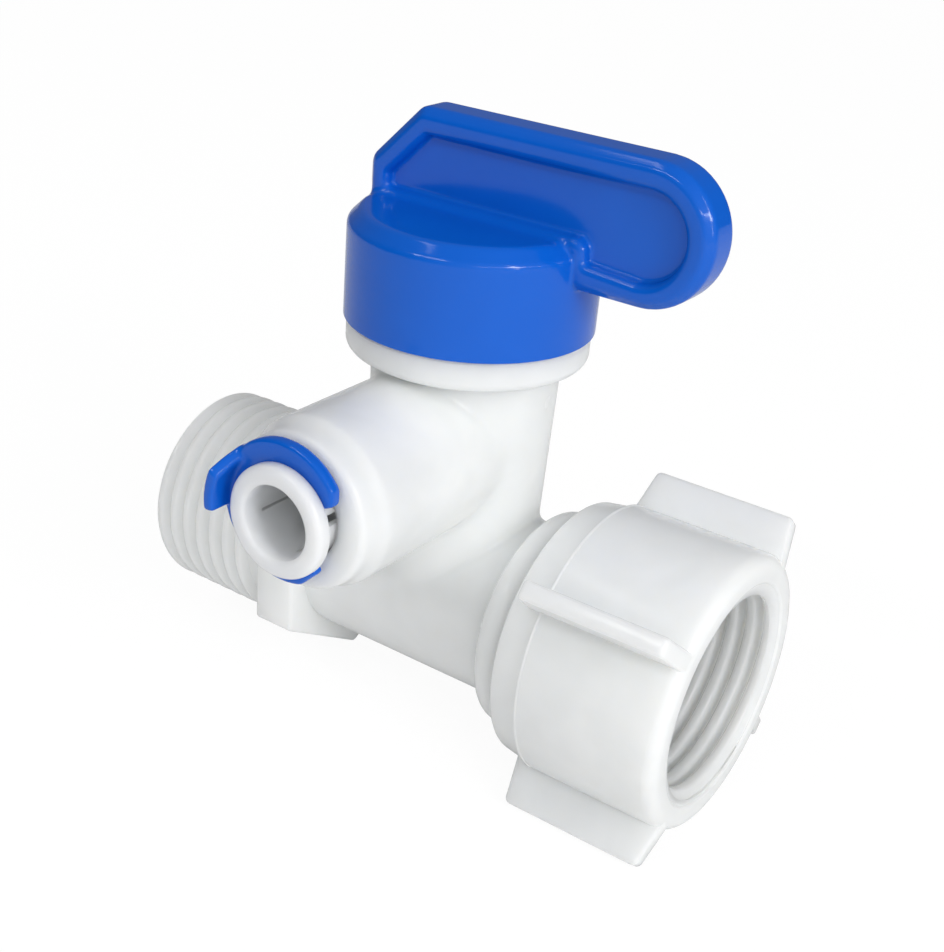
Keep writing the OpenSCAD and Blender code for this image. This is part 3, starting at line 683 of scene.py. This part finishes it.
def makeClip(size):
    centre = Vector((size["shift"][0], -size["start"], outletZ + size["shift"][1]))
    bpy.ops.object.select_all(action="DESELECT")
    bpy.ops.mesh.primitive_cylinder_add(
        vertices=128, radius=size["outer"], depth=size["end"] - size["start"], rotation=(math.pi / 2, 0, 0),
        location=centre + Vector((0, (size["start"] - size["end"]) / 2, 0)))
    piece = bpy.context.object
    piece.name = "lockingClip"
    bpy.ops.object.transform_apply(location=True, rotation=True, scale=True)
    bpy.ops.object.mode_set(mode="EDIT")
    for angle, reach in size["flats"]:
        bpy.ops.mesh.select_all(action="SELECT")
        bpy.ops.mesh.bisect(plane_co=onOutlet(reach, 0, angle), plane_no=onOutlet(1, 0, angle) - onOutlet(0, 0),
                            use_fill=True, clear_outer=True)
    tidyFaces()
    lip = turned("lip", "outlet", [
        (size["lipInner"], size["start"]), (size["lipOuter"], size["start"]), (size["lipOuter"], size["lipTop"]),
        (size["lipInner"], size["lipTop"])], True, start=size["lipFrom"], sweep=size["lipTo"] - size["lipFrom"],
        steps=24)
    editAll(lip)
    tilt = math.radians(size["rampTilt"])
    along = onOutlet(1, 0, size["rampAt"] + 90) - onOutlet(0, 0)
    bpy.ops.mesh.bisect(plane_co=onOutlet(size["lipOuter"], size["end"], size["rampAt"]),
                        plane_no=along * math.cos(tilt) + Vector((0, -math.sin(tilt), 0)),
                        use_fill=True, clear_outer=True)
    tidyFaces()
    combine(piece, lip, "UNION")
    low, high, neck, reach = size["cutFrom"], size["cutTo"], size["inner"], size["cutReach"]
    combine(piece, turned("neckHole", "outlet", [(0, low), (neck, low), (neck, high), (0, high)], False),
            "DIFFERENCE")
    combine(piece, turned("opening", "outlet", [(0.2, low), (reach, low), (reach, high), (0.2, high)], True,
                          start=size["openFrom"], sweep=size["openTo"] - size["openFrom"], steps=16), "DIFFERENCE")
    modify(piece, "REMESH", mode="VOXEL", voxel_size=size["voxel"])
    modify(piece, "SMOOTH", factor=0.5, iterations=size["softening"])
    finishPiece(piece, "clip_body", "locking_clip", bluePlastic, 60)


makeClip(clip)

# Inner pieces keep their solids and get their finish

finishes = {
    bodyPlastic: ("nut_ring", "port_cartridge", "seal_spacer", "stem"),
    seatPlastic: ("thrust_washer", "ball", "inlet_seat", "outlet_seat"),
    blackRubber: ("pipe_washer", "bonnet_seal", "stem_seal_lower", "stem_seal_upper", "inlet_seat_seal",
                  "outlet_seat_seal", "tube_seal"),
    toothSteel: ("collet_teeth",),
}
for material, names in finishes.items():
    for name in names:
        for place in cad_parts[name].material_slots:
            place.material = material
print("inner pieces dressed")

# Stage, camera and light

stage = {"size": 4.0, "shadowShare": 0.1, "glow": 1.04, "grey": (0.88, 0.88, 0.88, 1)}


def makeStage(setup):
    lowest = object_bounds()[0].z
    bpy.ops.object.select_all(action="DESELECT")
    bpy.ops.mesh.primitive_plane_add(size=setup["size"], location=(0, 0, lowest))
    floor = bpy.context.object
    floor.name = "floor"
    material = bpy.data.materials.new("paleFloor")
    material.use_nodes = True
    material.node_tree.nodes.clear()
    wire = Wire(material.node_tree)
    direct = wire.node("ShaderNodeLightPath", {}, {}, "Is Camera Ray")
    through = wire.node("ShaderNodeLightPath", {}, {}, "Is Transmission Ray")
    seen = wire.sum("MINIMUM", direct + through, 1)
    lit = wire.node("ShaderNodeBsdfDiffuse", {}, {"Color": setup["grey"]})
    plain = wire.node("ShaderNodeEmission", {}, {"Color": (1, 1, 1, 1), "Strength": setup["glow"]})
    both = wire.node("ShaderNodeMixShader", {}, {0: seen * (1 - setup["shadowShare"]), 1: lit, 2: plain})
    out = material.node_tree.nodes.new("ShaderNodeOutputMaterial")
    material.node_tree.links.new(both.socket, out.inputs["Surface"])
    floor.data.materials.append(material)
    floor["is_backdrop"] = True


makeStage(stage)

view = {
    "position": (69.311, -105.369, 72.679), "right": (0.80351, 0.59141, 0.06734),
    "up": (-0.33812, 0.36064, 0.86927), "back": (0.48990, -0.72131, 0.48968),
    "lens": 55.085, "shift": (0.0441, 0.0883),
}


def makeCamera(setup):
    bpy.ops.object.camera_add(location=Vector(setup["position"]) * mm)
    camera = bpy.context.object
    rows = [Vector(setup[key]) for key in ("right", "up", "back")]
    camera.rotation_euler = Matrix(rows).transposed().to_euler()
    camera.data.sensor_width = 36
    camera.data.lens = setup["lens"]
    camera.data.shift_x, camera.data.shift_y = setup["shift"]
    camera.data.clip_start = 0.005
    bpy.context.scene.camera = camera


makeCamera(view)

# The lamps' places are in metres, and each side of the sky has its direction and strength
lights = {
    "lamps": {
        "key": {"at": (0.55, -0.2, 0.29), "size": (0.12, 0.1), "power": 0.48},
        "wideStrip": {"at": (0.52, -0.24, 0.29), "size": (0.6, 0.012), "power": 0.5},
        "tallStrip": {"at": (0.55, -0.2, 0.3), "size": (0.012, 0.5), "power": 0.36},
        "front": {"at": (-0.11, -0.42, 0.48), "size": (0.3, 0.02), "power": 0.55},
        "high": {"at": (-0.2, -0.16, 0.56), "size": (0.16, 0.04), "power": 0.08},
    },
    "sides": {"right": ((1, 0, 0), 0.53), "near": ((0.77, -0.64, 0), 1.18), "above": ((0, 0, 1), 0.52),
              "behind": ((-0.75, 0.66, 0), 0.45)},
    "mirrored": 0.38,  # share of the sky that shiny surfaces show
    "aim": (0, 0, 0.015),
}


def makeLights(setup):
    for name, lamp in setup["lamps"].items():
        bpy.ops.object.light_add(type="AREA", location=lamp["at"])
        light = bpy.context.object
        light.name = name
        light.data.energy = lamp["power"]
        light.data.shape = "RECTANGLE"
        light.data.size, light.data.size_y = lamp["size"]
        toward = Vector(setup["aim"]) - Vector(lamp["at"])
        light.rotation_euler = toward.to_track_quat("-Z", "Y").to_euler()
    world = bpy.data.worlds.new("studio")
    bpy.context.scene.world = world
    world.use_nodes = True
    world.node_tree.nodes.clear()
    wire = Wire(world.node_tree)
    direction = wire.node("ShaderNodeTexCoord", {}, {}, "Generated")
    sky = 0.0
    parts = [wire.node("ShaderNodeSeparateXYZ", {}, {"Vector": direction}, axis) for axis in "XYZ"]
    for toward, strength in setup["sides"].values():
        facing = wire.sum("MAXIMUM", sum(part * along for part, along in zip(parts, toward)), 0.0)
        sky = facing * facing * strength + sky
    direct, mirrored, through = [wire.node("ShaderNodeLightPath", {}, {}, kind)
                                 for kind in ("Is Camera Ray", "Is Glossy Ray", "Is Transmission Ray")]
    backdrop = (direct + through).mix(sky * (1 - mirrored * (1 - setup["mirrored"])), (1, 1, 1, 1))
    glow = wire.node("ShaderNodeBackground", {}, {"Color": backdrop, "Strength": 1.0})
    out = world.node_tree.nodes.new("ShaderNodeOutputWorld")
    world.node_tree.links.new(glow.socket, out.inputs["Surface"])


makeLights(lights)
bpy.context.scene.view_settings.view_transform = "Standard"
print("stage, camera and lights set")
